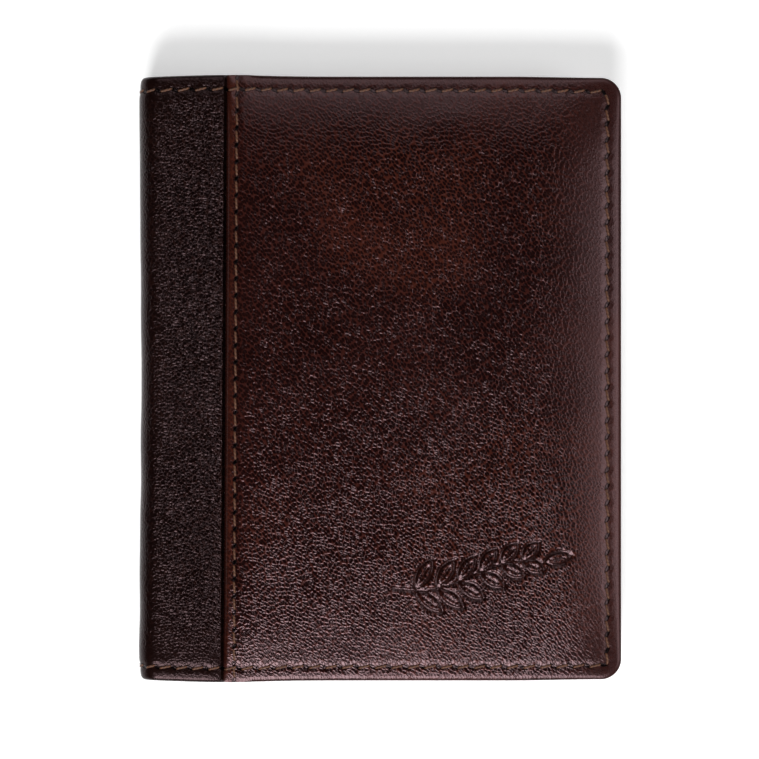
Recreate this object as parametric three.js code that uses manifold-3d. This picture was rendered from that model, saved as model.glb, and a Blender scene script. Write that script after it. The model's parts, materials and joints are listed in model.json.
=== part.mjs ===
// A slim leather bifold wallet, lying closed on its back cover.
//
// Millimetres, +Z up. The origin is the middle of the footprint, on the surface the wallet lies on. The spine is
// the long side at -X, and the note pocket opens towards +Y. Each half is drawn from the closing plane outwards,
// and the back half is the front half mirrored in that plane.

import * as THREE from "three";
import { mergeVertices } from "three/addons/utils/BufferGeometryUtils.js";
import Module from "manifold-3d";

const wasm = await Module();
wasm.setup();

// ---------------------------------------------------------------- driving dimensions

// The closed wallet, seen from above.
const WIDTH = 82; // spine face to outer edge
const HEIGHT = 102.8; // bottom edge to top edge
const CORNER_RADIUS = 4; // outer corners of the covers
const SPINE_CORNER_RADIUS = 1.8; // where the spine meets the top and bottom edges

// What goes in it: an ID-1 bank card, standing upright, slid in sideways from the spine.
const CARD_WIDTH = 54;
const CARD_THICKNESS = 0.76;
const CARD_CLEARANCE = 0.06; // in the thickness of a slot
const CARD_REVEAL = 8; // how far a card stands out of its pocket
const CARD_STEP = 10; // from one card's place to the next
const NOTE_GAP = 0.6; // notes behind the card pockets

// Leather and cloth thicknesses.
const COVER_LEATHER = 0.8;
const BAND_TONGUE = 0.35; // the band, pared thin where the cover laps over it
const BASE_LEATHER = 0.45;
const POCKET_LEATHER = 0.4; // the two inner card pockets
const FACE_LEATHER = 0.5; // the card pocket nearest the closing plane
const LINING = 0.2;

// Fits.
const CLOSING_GAP = 0.3; // between the two halves, closed
const BOND_GAP = 0.1; // the glue line between neighbouring pieces
const FOLD_GAP = 0.12; // each side of the cut where the spine band bends

// The covers.
const TURNED_EDGE = 1; // thickness of a cover at its turned edge
const CROWN = 1.7; // how far a cover rises from its turned edge to its flat middle
const CROWN_RUN = 14; // over what distance it does so
const LAP_CROWN = 0.7; // the same at its folded edge, over the spine band
const LAP_CROWN_RUN = 6;
const RIM = 4.2; // glued, double leather round the padding
const PADDING_CLEARANCE = 0.1;

// The spine band, which the covers lap over.
const BAND_WIDTH = 14.6; // spine face to the covers' folded edges
const BAND_STEP = 0.5; // how far the band lies below the covers' folded edges
const BAND_CROWN = 0.3; // how far the band rises from its turned ends
const BAND_CROWN_RUN = 3;
const LAP = 4.4; // how far the band runs on under a cover
const FOLD_RADIUS = 3.2; // outside radius of the band's bend

// The card and note pockets.
const CENTRE_EDGE = 5; // spine face to the centre edge of the pockets
const INNER_INSET = 0.4; // the pockets stop this far inside the covers' edges
const NOTE_MOUTH_DROP = 3; // the pockets stop this far below the covers' top edge
const HEM = 3.4; // width of the pockets' turned edges
const SEAM_WIDTH = 1.2; // the row of stitches that stops a card
const SLOTS = 2; // in each half

// The stitching.
const STITCH_INSET = 2.4; // covers' edge to the stitch line
const BAND_SEAM_INSET = 1.8; // covers' folded edge to the stitch line
const STITCH_PITCH = 2.8;
const STITCH_HOLE = 0.6; // of each pitch, where the thread goes down
const STITCH_SLANT = 0.18; // how far a stitch leans to each side of the line
const THREAD_WIDTH = 0.5;
const THREAD_HEIGHT = 0.3;
const INNER_THREAD_HEIGHT = 0.2;
const GROOVE_CLEARANCE = 0.12; // round a thread, in its groove

const ARC_STEPS = 4; // half the straight pieces in each quarter turn or crown
const STITCH_TURN = 0.35; // radians of a stitch's turn for each straight piece of its thread

// ---------------------------------------------------------------- what follows from them

const LEFT = -WIDTH / 2;
const RIGHT = WIDTH / 2;
const TOP = HEIGHT / 2;
const BOTTOM = -HEIGHT / 2;
const SLOT = CARD_THICKNESS + CARD_CLEARANCE;

// Levels of the layers of one half, as {low, high} above the closing plane.
function stackLayers(rows) {
  const levels = {};
  let at = 0;
  for (const [name, thickness] of rows) {
    levels[name] = { low: at, high: at + thickness };
    at += thickness;
  }
  return levels;
}

// The last pocket is the one nearest the closing plane.
const pocketLayers = [];
for (let slot = SLOTS; slot > 0; slot--) {
  pocketLayers.push([`pocket_${slot}`, slot === SLOTS ? FACE_LEATHER : POCKET_LEATHER]);
  pocketLayers.push([`slot_${slot}`, SLOT]);
}

const LEVEL = stackLayers([
  ["closing_gap", CLOSING_GAP / 2],
  ...pocketLayers,
  ["base", BASE_LEATHER],
  ["note_gap", NOTE_GAP],
  ["lining", LINING],
  ["bond", BOND_GAP],
  ["edge", TURNED_EDGE],
  ["crown", CROWN],
]);
const COVER_LOW = LEVEL.edge.low;
const COVER_EDGE = LEVEL.edge.high;
const COVER_TOP = LEVEL.crown.high;
const HALF = COVER_TOP;
const BAND_TOP = COVER_TOP - LAP_CROWN - BAND_STEP;
const BAND_LOW = COVER_LOW;
const BAND_THICKNESS = BAND_TOP - BAND_LOW;

// How far a crowned surface has risen at a distance in from its edge: a parabola.
const crownAt = (distance, crown, run) =>
  crown * (1 - Math.max(0, 1 - distance / run) ** 2);

// The threads on a cover and on the band lie at one level, so that one thread can run over both.
const GROOVE_FLOOR = Math.min(
  COVER_EDGE + crownAt(STITCH_INSET, CROWN, CROWN_RUN) - THREAD_HEIGHT - GROOVE_CLEARANCE,
  BAND_TOP - THREAD_HEIGHT / 2 - GROOVE_CLEARANCE,
);
const THREAD_LOW = GROOVE_FLOOR + GROOVE_CLEARANCE;
const BAND_SEAM_LEVEL =
  COVER_TOP - LAP_CROWN + crownAt(BAND_SEAM_INSET, LAP_CROWN, LAP_CROWN_RUN);

const LAP_EDGE = LEFT + BAND_WIDTH; // the covers' folded edges
const BAND_SEAM_X = LAP_EDGE + BAND_SEAM_INSET;
const POCKET_LEFT = LEFT + CENTRE_EDGE;
const POCKET_RIGHT = RIGHT - INNER_INSET;
const POCKET_TOP = TOP - NOTE_MOUTH_DROP;
const POCKET_BOTTOM = BOTTOM + INNER_INSET;

// Where each card stops, and where each pocket begins.
const LAST_STOP = POCKET_RIGHT - HEM;
const stopOf = (slot) => LAST_STOP - (SLOTS - slot) * CARD_STEP;
const mouthOf = (slot) => stopOf(slot) - CARD_WIDTH + CARD_REVEAL;

// ---------------------------------------------------------------- solids

// A three.js geometry as a manifold-3d solid.
function solidOf(geometry) {
  const bare = geometry.clone();
  bare.deleteAttribute("normal");
  bare.deleteAttribute("uv");
  const merged = mergeVertices(bare, 1e-4);
  return new wasm.Manifold(
    new wasm.Mesh({
      numProp: 3,
      vertProperties: merged.attributes.position.array,
      triVerts: new Uint32Array(merged.index.array),
    }),
  );
}

// A manifold-3d solid as a flat-shaded three.js geometry.
function geometryOf(solid) {
  const mesh = solid.getMesh();
  const geometry = new THREE.BufferGeometry();
  geometry.setAttribute(
    "position",
    new THREE.BufferAttribute(new Float32Array(mesh.vertProperties), 3),
  );
  geometry.setIndex(new THREE.BufferAttribute(new Uint32Array(mesh.triVerts), 1));
  const flat = geometry.toNonIndexed();
  flat.computeVertexNormals();
  return flat;
}

const X = new THREE.Vector3(1, 0, 0);
const Y = new THREE.Vector3(0, 1, 0);
const Z = new THREE.Vector3(0, 0, 1);
const EXTRUDE_OPTIONS = { bevelEnabled: false, curveSegments: ARC_STEPS };

// A shape drawn in X and Y, standing from z = low to z = high.
function upright(shape, low, high) {
  const geometry = new THREE.ExtrudeGeometry(shape, {
    ...EXTRUDE_OPTIONS,
    depth: high - low,
  });
  return solidOf(geometry.translate(0, 0, low));
}

// A section drawn in X and Z, running from y = from to y = to.
function alongY(section, from, to) {
  const geometry = new THREE.ExtrudeGeometry(section, {
    ...EXTRUDE_OPTIONS,
    depth: to - from,
  });
  geometry.applyMatrix4(new THREE.Matrix4().makeBasis(X, Z, Y.clone().negate()));
  return solidOf(geometry.translate(0, to, 0));
}

// A section drawn in Y and Z, running from x = from to x = to.
function alongX(section, from, to) {
  const geometry = new THREE.ExtrudeGeometry(section, {
    ...EXTRUDE_OPTIONS,
    depth: to - from,
  });
  geometry.applyMatrix4(new THREE.Matrix4().makeBasis(Y, Z, X));
  return solidOf(geometry.translate(from, 0, 0));
}

function box(x0, x1, y0, y1, z0, z1) {
  const geometry = new THREE.BoxGeometry(x1 - x0, y1 - y0, z1 - z0);
  return solidOf(
    geometry.translate((x0 + x1) / 2, (y0 + y1) / 2, (z0 + z1) / 2),
  );
}

// A rectangle with its two left corners rounded to one radius and its two right corners to another.
function roundedRectangle(x0, x1, y0, y1, leftRadius, rightRadius) {
  const s = new THREE.Shape();
  s.moveTo(x0 + leftRadius, y0);
  s.lineTo(x1 - rightRadius, y0);
  if (rightRadius > 0)
    s.absarc(x1 - rightRadius, y0 + rightRadius, rightRadius, -Math.PI / 2, 0);
  s.lineTo(x1, y1 - rightRadius);
  if (rightRadius > 0)
    s.absarc(x1 - rightRadius, y1 - rightRadius, rightRadius, 0, Math.PI / 2);
  s.lineTo(x0 + leftRadius, y1);
  if (leftRadius > 0)
    s.absarc(x0 + leftRadius, y1 - leftRadius, leftRadius, Math.PI / 2, Math.PI);
  s.lineTo(x0, y0 + leftRadius);
  if (leftRadius > 0)
    s.absarc(x0 + leftRadius, y0 + leftRadius, leftRadius, Math.PI, 1.5 * Math.PI);
  return s;
}

// The section of a crowned sheet: flat below, flat on top, with a parabola down to each end. An end is {rise, run},
// and one with no rise stays flat.
function crownSection(from, to, low, high, start, end) {
  const s = new THREE.Shape();
  s.moveTo(from, low);
  s.lineTo(to, low);
  s.lineTo(to, high - end.rise);
  if (end.rise > 0) s.quadraticCurveTo(to - end.run / 2, high, to - end.run, high);
  s.lineTo(from + start.run, high);
  if (start.rise > 0) s.quadraticCurveTo(from + start.run / 2, high, from, high - start.rise);
  s.lineTo(from, low);
  return s;
}

const COVER_END = { rise: CROWN, run: CROWN_RUN };
const LAP_END = { rise: LAP_CROWN, run: LAP_CROWN_RUN };
const BAND_END = { rise: BAND_CROWN, run: BAND_CROWN_RUN };
const FLAT_END = { rise: 0, run: 0 };

// A sheet that is crowned towards its top, bottom and outer edges, with an end of its own towards the spine.
function crownedSheet(left, leftEnd, inset, low, high) {
  const right = RIGHT - inset;
  const top = TOP - inset;
  const across = crownSection(left, right, low, high, leftEnd, COVER_END);
  const along = crownSection(-top, top, low, high, COVER_END, COVER_END);
  const radius = Math.max(CORNER_RADIUS - inset, 1);
  const outline = roundedRectangle(left, right, -top, top, 0, radius);
  return alongY(across, -top, top)
    .intersect(alongX(along, left, right))
    .intersect(upright(outline, low, high));
}

// The stitch line of a cover: along the top, down the outer edge and back along the bottom.
function stitchLine(left, right, bottom, top, radius) {
  const path = new THREE.Path();
  path.moveTo(left, top);
  path.lineTo(right - radius, top);
  path.absarc(right - radius, top - radius, radius, Math.PI / 2, 0, true);
  path.lineTo(right, bottom + radius);
  path.absarc(right - radius, bottom + radius, radius, 0, -Math.PI / 2, true);
  path.lineTo(left, bottom);
  return path;
}

function straightLine(x0, y0, x1, y1) {
  const path = new THREE.Path();
  path.moveTo(x0, y0);
  path.lineTo(x1, y1);
  return path;
}

// The outline of a band of one width along a path. Each station is [share of the path's length, offset to its left].
function ribbonOutline(path, stations, width) {
  const sides = [[], []];
  for (const [share, offset] of stations) {
    const point = path.getPointAt(share);
    const tangent = path.getTangentAt(share);
    const left = new THREE.Vector2(-tangent.y, tangent.x);
    sides[0].push(point.clone().addScaledVector(left, offset - width / 2));
    sides[1].push(point.clone().addScaledVector(left, offset + width / 2));
  }
  return new THREE.Shape([...sides[0], ...sides[1].reverse()]);
}

// A thread laid along a path: each stitch leans across the line, and the next one starts back on the other side.
function thread(path, low, high) {
  const length = path.getLength();
  const count = Math.max(1, Math.round(length / STITCH_PITCH));
  const hole = STITCH_HOLE / 2 / length;
  const stations = [];
  for (let i = 0; i < count; i++) {
    const from = i / count + hole;
    const to = (i + 1) / count - hole;
    const turn = path.getTangentAt(from).angleTo(path.getTangentAt(to));
    const steps = 1 + Math.ceil(turn / STITCH_TURN);
    for (let k = 0; k <= steps; k++) {
      const t = k / steps;
      stations.push([from + (to - from) * t, STITCH_SLANT * (2 * t - 1)]);
    }
  }
  return upright(ribbonOutline(path, stations, THREAD_WIDTH), low, high);
}

// What a groove for that thread takes away.
function groove(path, floor, ceiling) {
  const width = THREAD_WIDTH + 2 * (STITCH_SLANT + GROOVE_CLEARANCE);
  const steps = 4 * ARC_STEPS;
  const stations = [];
  for (const curve of path.curves) {
    const count = curve.isLineCurve ? 1 : steps;
    for (let i = 0; i <= count; i++) stations.push(curve.getPointAt(i / count));
  }
  const left = [];
  const right = [];
  stations.forEach((point, i) => {
    const before = stations[Math.max(0, i - 1)];
    const after = stations[Math.min(stations.length - 1, i + 1)];
    const tangent = after.clone().sub(before).normalize();
    const side = new THREE.Vector2(-tangent.y, tangent.x).multiplyScalar(width / 2);
    left.push(point.clone().add(side));
    right.push(point.clone().sub(side));
  });
  return upright(new THREE.Shape([...right, ...left.reverse()]), floor, ceiling);
}

// ---------------------------------------------------------------- finishes

const finish = (color, roughness) =>
  new THREE.MeshStandardMaterial({ color, roughness, metalness: 0 });
const MATERIAL = {
  coverLeather: finish(0x3a1c16, 0.42),
  bandLeather: finish(0x22120f, 0.38),
  pocketLeather: finish(0x43231a, 0.5),
  lining: finish(0x2b211d, 0.9),
  padding: finish(0xb9b2a4, 0.95),
  thread: finish(0x7a4c30, 0.7),
};

function part(name, solid, material) {
  const mesh = new THREE.Mesh(geometryOf(solid), material);
  mesh.name = name;
  return mesh;
}

// ---------------------------------------------------------------- one half, above the closing plane

const COVER_STITCHES = stitchLine(
  LEFT + FOLD_RADIUS,
  RIGHT - STITCH_INSET,
  BOTTOM + STITCH_INSET,
  TOP - STITCH_INSET,
  Math.max(CORNER_RADIUS - STITCH_INSET, 0.6),
);
const BAND_SEAM = straightLine(
  BAND_SEAM_X,
  TOP - STITCH_INSET - STITCH_PITCH,
  BAND_SEAM_X,
  BOTTOM + STITCH_INSET + STITCH_PITCH,
);

// Brown leather, turned under at its edges and hollow below for the padding.
function coverLeather() {
  const tongueTop = BAND_LOW + BAND_TONGUE;
  const cavity = crownedSheet(
    LAP_EDGE + LAP + RIM,
    FLAT_END,
    RIM,
    COVER_LOW - 1,
    COVER_TOP - COVER_LEATHER,
  );
  const lap = box(
    LAP_EDGE - 1,
    LAP_EDGE + LAP + BOND_GAP,
    BOTTOM - 1,
    TOP + 1,
    COVER_LOW - 1,
    tongueTop + BOND_GAP,
  );
  return crownedSheet(LAP_EDGE, LAP_END, 0, COVER_LOW, COVER_TOP)
    .subtract(cavity)
    .subtract(lap)
    .subtract(groove(COVER_STITCHES, GROOVE_FLOOR, COVER_TOP + 1))
    .subtract(
      box(
        BAND_SEAM_X - THREAD_WIDTH / 2 - STITCH_SLANT - GROOVE_CLEARANCE,
        BAND_SEAM_X + THREAD_WIDTH / 2 + STITCH_SLANT + GROOVE_CLEARANCE,
        BOTTOM + STITCH_INSET,
        TOP - STITCH_INSET,
        BAND_SEAM_LEVEL - THREAD_HEIGHT - GROOVE_CLEARANCE,
        COVER_TOP + 1,
      ),
    );
}

function coverPadding() {
  return crownedSheet(
    LAP_EDGE + LAP + RIM + PADDING_CLEARANCE,
    FLAT_END,
    RIM + PADDING_CLEARANCE,
    COVER_LOW,
    COVER_TOP - COVER_LEATHER - PADDING_CLEARANCE,
  );
}

function coverLining() {
  const outline = roundedRectangle(
    LEFT + FOLD_RADIUS,
    POCKET_RIGHT,
    POCKET_BOTTOM,
    POCKET_TOP,
    0,
    CORNER_RADIUS - INNER_INSET,
  );
  return upright(outline, LEVEL.lining.low, LEVEL.lining.high);
}

// The band's bend, as an arc round the fold's centre, in the section plane.
const FOLD_X = LEFT + FOLD_RADIUS;
const FOLD_INNER = FOLD_RADIUS - BAND_THICKNESS;
const FOLD_CUT = FOLD_GAP / FOLD_INNER; // the angle left open at each side of the cut
const CUT_ANGLE = (3 / 4) * Math.PI; // half way round the bend

// Turned ends for a piece of the band that spans z = low to z = high.
function bandEnvelope(low, high) {
  const along = crownSection(BOTTOM, TOP, low, high, BAND_END, BAND_END);
  const outline = roundedRectangle(LEFT, LAP_EDGE + LAP, BOTTOM, TOP, SPINE_CORNER_RADIUS, 0);
  return alongX(along, LEFT, LAP_EDGE + LAP).intersect(
    upright(outline, low, high),
  );
}

// Dark leather on a half: from the cut in the bend, over the face, and pared down under the cover's lap.
function bandFace() {
  const centre = BAND_TOP - FOLD_RADIUS;
  const cut = CUT_ANGLE - FOLD_CUT;
  const s = new THREE.Shape();
  s.absarc(FOLD_X, centre, FOLD_RADIUS, cut, Math.PI / 2, true);
  s.lineTo(LAP_EDGE - BOND_GAP, BAND_TOP);
  s.lineTo(LAP_EDGE - BOND_GAP, BAND_LOW + BAND_TONGUE);
  s.lineTo(LAP_EDGE + LAP, BAND_LOW + BAND_TONGUE);
  s.lineTo(LAP_EDGE + LAP, BAND_LOW);
  s.lineTo(FOLD_X, BAND_LOW);
  s.absarc(FOLD_X, centre, FOLD_INNER, Math.PI / 2, cut, false);
  return alongY(s, BOTTOM, TOP)
    .intersect(bandEnvelope(0, BAND_TOP))
    .subtract(groove(COVER_STITCHES, GROOVE_FLOOR, COVER_TOP + 1));
}

// A flat sheet of the pockets, from a left edge to the outer edge.
function pocketSheet(left, level) {
  const outline = roundedRectangle(
    left,
    POCKET_RIGHT,
    POCKET_BOTTOM,
    POCKET_TOP,
    0,
    CORNER_RADIUS - INNER_INSET,
  );
  return upright(outline, level.low, level.high);
}

// One turned edge of a space that reaches from a left edge to the outer edge. The outer one runs the full height,
// and the top and bottom ones butt against it.
function hem(side, left, level) {
  const low = level.low + BOND_GAP / 2;
  const high = level.high - BOND_GAP / 2;
  const butt = LAST_STOP - BOND_GAP;
  const room = {
    outer: [LAST_STOP, RIGHT, BOTTOM, TOP],
    top: [left, butt, POCKET_TOP - HEM, TOP],
    bottom: [left, butt, BOTTOM, POCKET_BOTTOM + HEM],
  }[side];
  return pocketSheet(left, { low, high }).intersect(box(...room, low - 1, high + 1));
}

// The row of stitches across a slot that a card stops against.
function stopSeam(slot) {
  const level = LEVEL[`slot_${slot}`];
  return box(
    stopOf(slot),
    stopOf(slot) + SEAM_WIDTH,
    POCKET_BOTTOM + HEM + BOND_GAP,
    POCKET_TOP - HEM - BOND_GAP,
    level.low + BOND_GAP / 2,
    level.high - BOND_GAP / 2,
  );
}

const FACE_STITCHES = stitchLine(
  mouthOf(SLOTS) + STITCH_PITCH / 2,
  RIGHT - STITCH_INSET,
  BOTTOM + STITCH_INSET,
  POCKET_TOP - STITCH_INSET + INNER_INSET,
  Math.max(CORNER_RADIUS - STITCH_INSET, 0.6),
);

function half(side) {
  const group = new THREE.Group();
  const add = (name, solid, material) =>
    group.add(part(`${side}_${name}`, solid, material));

  add("cover_leather", coverLeather(), MATERIAL.coverLeather);
  add("cover_padding", coverPadding(), MATERIAL.padding);
  add("cover_lining", coverLining(), MATERIAL.lining);
  add("spine_band", bandFace(), MATERIAL.bandLeather);

  add("pocket_base", pocketSheet(POCKET_LEFT, LEVEL.base), MATERIAL.pocketLeather);
  for (let slot = 1; slot <= SLOTS; slot++) {
    const level = LEVEL[`pocket_${slot}`];
    const faceGroove = groove(
      FACE_STITCHES,
      level.low - 1,
      level.low + INNER_THREAD_HEIGHT + GROOVE_CLEARANCE,
    );
    const sheet = pocketSheet(mouthOf(slot), level);
    add(
      `card_pocket_${slot}`,
      slot === SLOTS ? sheet.subtract(faceGroove) : sheet,
      MATERIAL.pocketLeather,
    );
    for (const edge of ["outer", "top", "bottom"])
      add(
        `card_hem_${slot}_${edge}`,
        hem(edge, mouthOf(slot), LEVEL[`slot_${slot}`]),
        MATERIAL.pocketLeather,
      );
    if (slot < SLOTS) add(`card_stop_${slot}`, stopSeam(slot), MATERIAL.thread);
  }
  // The note pocket stays open along the top.
  for (const edge of ["outer", "bottom"])
    add(
      `note_hem_${edge}`,
      hem(edge, POCKET_LEFT, LEVEL.note_gap),
      MATERIAL.pocketLeather,
    );

  add(
    "cover_stitching",
    thread(COVER_STITCHES, THREAD_LOW, THREAD_LOW + THREAD_HEIGHT),
    MATERIAL.thread,
  );
  add(
    "band_stitching",
    thread(BAND_SEAM, BAND_SEAM_LEVEL - THREAD_HEIGHT, BAND_SEAM_LEVEL),
    MATERIAL.thread,
  );
  const face = LEVEL[`pocket_${SLOTS}`].low;
  add(
    "pocket_stitching",
    thread(FACE_STITCHES, face, face + INNER_THREAD_HEIGHT),
    MATERIAL.thread,
  );
  return group;
}

// ---------------------------------------------------------------- the spine, across the closing plane

// The middle of the band: from the cut in one bend, down the spine's face, to the cut in the other.
function bandMiddle() {
  const centre = BAND_TOP - FOLD_RADIUS;
  const cut = CUT_ANGLE + FOLD_CUT;
  const s = new THREE.Shape();
  s.absarc(FOLD_X, centre, FOLD_RADIUS, cut, Math.PI, false);
  s.lineTo(LEFT, -centre);
  s.absarc(FOLD_X, -centre, FOLD_RADIUS, Math.PI, 2 * Math.PI - cut, false);
  s.absarc(FOLD_X, -centre, FOLD_INNER, 2 * Math.PI - cut, Math.PI, true);
  s.lineTo(LEFT + BAND_THICKNESS, centre);
  s.absarc(FOLD_X, centre, FOLD_INNER, Math.PI, cut, true);
  const outline = roundedRectangle(LEFT, FOLD_X, BOTTOM, TOP, SPINE_CORNER_RADIUS, 0);
  const grooveDepth = THREAD_HEIGHT + GROOVE_CLEARANCE;
  const grooveHalf = THREAD_WIDTH / 2 + STITCH_SLANT + GROOVE_CLEARANCE;
  let solid = alongY(s, BOTTOM, TOP).intersect(
    upright(outline, -BAND_TOP, BAND_TOP),
  );
  for (const y of [BOTTOM + STITCH_INSET, TOP - STITCH_INSET])
    solid = solid.subtract(
      box(LEFT - 1, LEFT + grooveDepth, y - grooveHalf, y + grooveHalf, -centre, centre),
    );
  return solid;
}

function spineLining() {
  const left = LEFT + BAND_THICKNESS + BOND_GAP;
  const reach = BAND_TOP - FOLD_RADIUS;
  return box(left, left + LINING, POCKET_BOTTOM, POCKET_TOP, -reach, reach);
}

// A thread across the spine's face, in the groove near one end. It is drawn flat and then stood up.
function spineThread(y) {
  const reach = BAND_TOP - FOLD_RADIUS - GROOVE_CLEARANCE;
  const mesh = part(
    y > 0 ? "spine_stitching_top" : "spine_stitching_bottom",
    thread(straightLine(-reach, 0, reach, 0), 0, THREAD_HEIGHT),
    MATERIAL.thread,
  );
  mesh.rotation.y = -Math.PI / 2;
  mesh.position.set(LEFT + THREAD_HEIGHT, y, 0);
  return mesh;
}

function spine() {
  const group = new THREE.Group();
  group.add(part("spine_band_middle", bandMiddle(), MATERIAL.bandLeather));
  group.add(part("spine_lining", spineLining(), MATERIAL.lining));
  group.add(spineThread(TOP - STITCH_INSET));
  group.add(spineThread(BOTTOM + STITCH_INSET));
  return group;
}

// ---------------------------------------------------------------- the wallet

const wallet = new THREE.Group();
const front = half("front");
const back = half("back");
back.scale.z = -1;
wallet.add(front, back, spine());
for (const group of wallet.children) group.position.z = HALF;

// The two fold lines, along Y, on the band's outer skin half way round each bend.
const FOLD_AXIS_INSET = FOLD_RADIUS * (1 - Math.SQRT1_2);
wallet.userData.foldLines = [-1, 1].map((side) => ({
  x: LEFT + FOLD_AXIS_INSET,
  z: HALF + side * (BAND_TOP - FOLD_AXIS_INSET),
}));

export default wallet;
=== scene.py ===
"""The looks of a slim bifold wallet: grained covers, dark spine band, lining, card pockets, stitching.

Lengths in the geometry code are millimetres. A half is described by its height above the closing plane, and
the back half is the front half mirrored in that plane.
"""

import json
import math

import bpy
import numpy as np
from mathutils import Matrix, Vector


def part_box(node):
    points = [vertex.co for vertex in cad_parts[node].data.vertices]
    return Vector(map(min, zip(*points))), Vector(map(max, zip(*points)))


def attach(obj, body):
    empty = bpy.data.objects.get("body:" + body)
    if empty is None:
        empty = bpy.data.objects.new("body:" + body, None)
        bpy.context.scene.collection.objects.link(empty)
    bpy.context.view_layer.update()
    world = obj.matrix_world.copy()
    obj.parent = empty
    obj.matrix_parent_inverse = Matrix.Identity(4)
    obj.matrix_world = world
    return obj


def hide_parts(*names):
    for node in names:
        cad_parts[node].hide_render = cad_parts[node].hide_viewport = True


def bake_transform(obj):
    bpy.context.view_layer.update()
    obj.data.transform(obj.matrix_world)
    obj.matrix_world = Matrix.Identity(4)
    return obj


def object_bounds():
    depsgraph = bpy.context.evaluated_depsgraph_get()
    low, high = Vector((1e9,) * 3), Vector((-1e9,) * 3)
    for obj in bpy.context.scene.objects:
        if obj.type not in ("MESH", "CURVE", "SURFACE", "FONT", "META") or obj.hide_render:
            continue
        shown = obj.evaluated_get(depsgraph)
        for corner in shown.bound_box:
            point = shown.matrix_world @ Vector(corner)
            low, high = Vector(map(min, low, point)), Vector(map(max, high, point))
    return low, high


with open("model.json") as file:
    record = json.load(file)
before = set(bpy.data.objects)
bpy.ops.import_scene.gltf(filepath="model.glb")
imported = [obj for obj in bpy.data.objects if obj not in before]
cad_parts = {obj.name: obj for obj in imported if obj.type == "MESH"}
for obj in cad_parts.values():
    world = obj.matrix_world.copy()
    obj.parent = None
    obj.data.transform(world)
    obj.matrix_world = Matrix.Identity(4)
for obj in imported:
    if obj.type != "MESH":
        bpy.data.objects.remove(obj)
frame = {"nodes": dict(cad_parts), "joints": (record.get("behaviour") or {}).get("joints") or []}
CAD_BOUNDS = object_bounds()

bl_info = {
    "name": "Bifold Wallet",
    "version": (1, 0, 0),
    "blender": (4, 5, 0),
    "location": "View3D > Sidebar > Wallet",
    "description": "Builds the leather, lining and stitching of a bifold wallet",
    "category": "Object",
}

MM = 0.001
SIDES = {"front": 1, "back": -1}

# Small sizes of the handwork, in millimetres.
SPINE_WAIST = 0.15  # how far the spine is drawn in at its middle
LAP_LEAN = 0.3  # how far the covers' folded edge leans at each end
LAP_BULGE = 0.28  # how far the ends stand out where the cover laps over the band
SPINE_PINCH = 0.12  # how far the ends are drawn in at the spine
OUTER_PINCH = 0.2  # and at the outer edge
DENT = 0.6  # half width of the dent that a seam pulls into the leather
SEAM_END = 0.4  # the lap seam's ends to the covers' ends
BAND_REACH = 0.6  # how far in the band's turned ends are rounded
SHEET_REACH = 0.2  # how far in a pocket's edge is rounded
INNER_CORNER = 3.6  # radius of the lining's and the pockets' outer corners
POCKET_SEAM_CORNER = 1.6  # radius of their stitch line's corners
OVERRUN = 0.002  # how far the two halves' pieces run past each other at the middle of the spine


# ---------------- what the frame says


def box(node):
    """Lowest and highest corner of a CAD node, in millimetres."""
    low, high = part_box(node)
    return np.array(low) / MM, np.array(high) / MM


class Frame:
    """The wallet's sizes in millimetres, read from the CAD nodes and the fold lines."""

    def __init__(self):
        low, high = (np.array(corner) / MM for corner in CAD_BOUNDS)
        self.left, self.right = low[0], high[0]
        self.top = high[1]
        self.middle = high[2] / 2
        cover_low, cover_high = box("front_cover_leather")
        self.lap_edge = cover_low[0]
        self.cover_low = cover_low[2] - self.middle
        self.cover_top = cover_high[2] - self.middle
        _, band_high = box("front_spine_band")
        self.band_end = band_high[0]
        self.band_top = band_high[2] - self.middle
        fold = next(j for j in frame["joints"] if j["name"] == "cover_fold")
        inset = fold["pos_m"][0] / MM - self.left
        self.fold_radius = inset / (1 - math.sqrt(0.5))
        self.fold_x = self.left + self.fold_radius
        self.fold_centre = self.band_top - self.fold_radius
        self.band_thickness = self.band_top - self.cover_low

    def half_box(self, node):
        """The corners of a front node, with their heights above the closing plane."""
        return [corner - [0, 0, self.middle] for corner in box(node)]


WALLET = Frame()


# ---------------- settings


def length(name, value, text):
    return bpy.props.FloatProperty(
        name=name, default=value, min=0, unit="LENGTH", description=text, precision=5
    )


def colour(name, value, text):
    return bpy.props.FloatVectorProperty(
        name=name, default=value, size=3, min=0, max=1, subtype="COLOR", description=text
    )


class WalletSizes(bpy.types.PropertyGroup):
    """Sizes of the seams, edges and grain."""

    turned_edge: length("Turned edge", 0.0007, "Thickness of a cover at its turned edge")
    edge_reach: length("Edge reach", 0.0008, "How far in a turned edge is rounded")
    crown_run: length("Crown run", 0.016, "Width of the slope round a cover")
    crown_run_low: length("Lower crown run", 0.024, "Width of a cover's lower slope")
    lap_crown: length("Lap crown", 0.0007, "Drop of a cover towards its folded edge")
    lap_crown_run: length("Lap crown run", 0.006, "Width of that slope")
    corner: length("Corner radius", 0.0035, "Radius of a cover's outer corners")
    spine_corner: length("Spine corner radius", 0.0003, "Radius at the spine's ends")
    tongue: length("Tongue", 0.00035, "Thickness of the band under a cover's lap")
    stitch_inset: length("Stitch inset", 0.0024, "Cover's edge to its stitch line")
    seam_inset: length("Lap seam inset", 0.0018, "Folded edge to its stitch line")
    pitch: length("Stitch pitch", 0.0028, "Length of a stitch")
    thread: length("Thread width", 0.00041, "Width of the sewing thread")
    slant: length("Stitch slant", 0.00026, "How far a stitch leans off its line")
    gutter: length("Gutter", 0.00007, "Depth that a seam pulls into the leather")
    cell: length("Grain size", 0.00057, "Size of a pebble of the leather's grain")


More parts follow.
